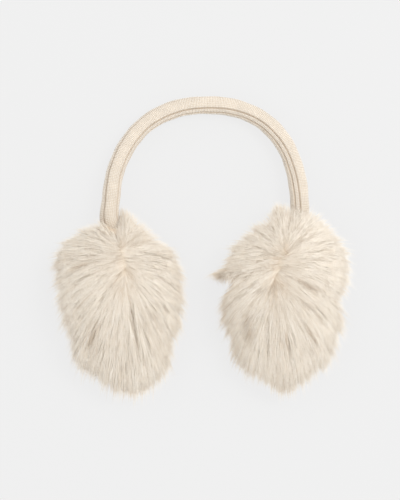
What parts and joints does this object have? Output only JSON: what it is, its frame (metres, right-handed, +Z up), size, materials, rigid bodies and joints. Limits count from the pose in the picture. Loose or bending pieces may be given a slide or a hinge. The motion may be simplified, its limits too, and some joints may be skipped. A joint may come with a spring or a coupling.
{
  "type": "fur earmuffs",
  "caption": "Padded knit-covered spring headband with a round long-fur muff and a plush ear pad at each end, lying ear pads down.",
  "frame": {"origin": "on the table under the middle of the outline of the whole", "axes": "+X from the left muff to the right one, +Y from the muffs to the crown of the headband, +Z up from the table, out of the ear pads' backs"},
  "size_m": [0.2304, 0.2306, 0.0561],
  "materials": {
    "knit": "matte fine-gauge knit in cream yarn, with folds along it",
    "fur": "long soft cream faux fur, warmer and darker between the locks",
    "plush": "short matte cream plush"
  },
  "bodies": {
    "root": {"headband_sleeve": "knit", "fur_muff_left": "fur", "fur_muff_right": "fur", "ear_pad_left": "plush", "ear_pad_right": "plush"}
  },
  "joints": []
}
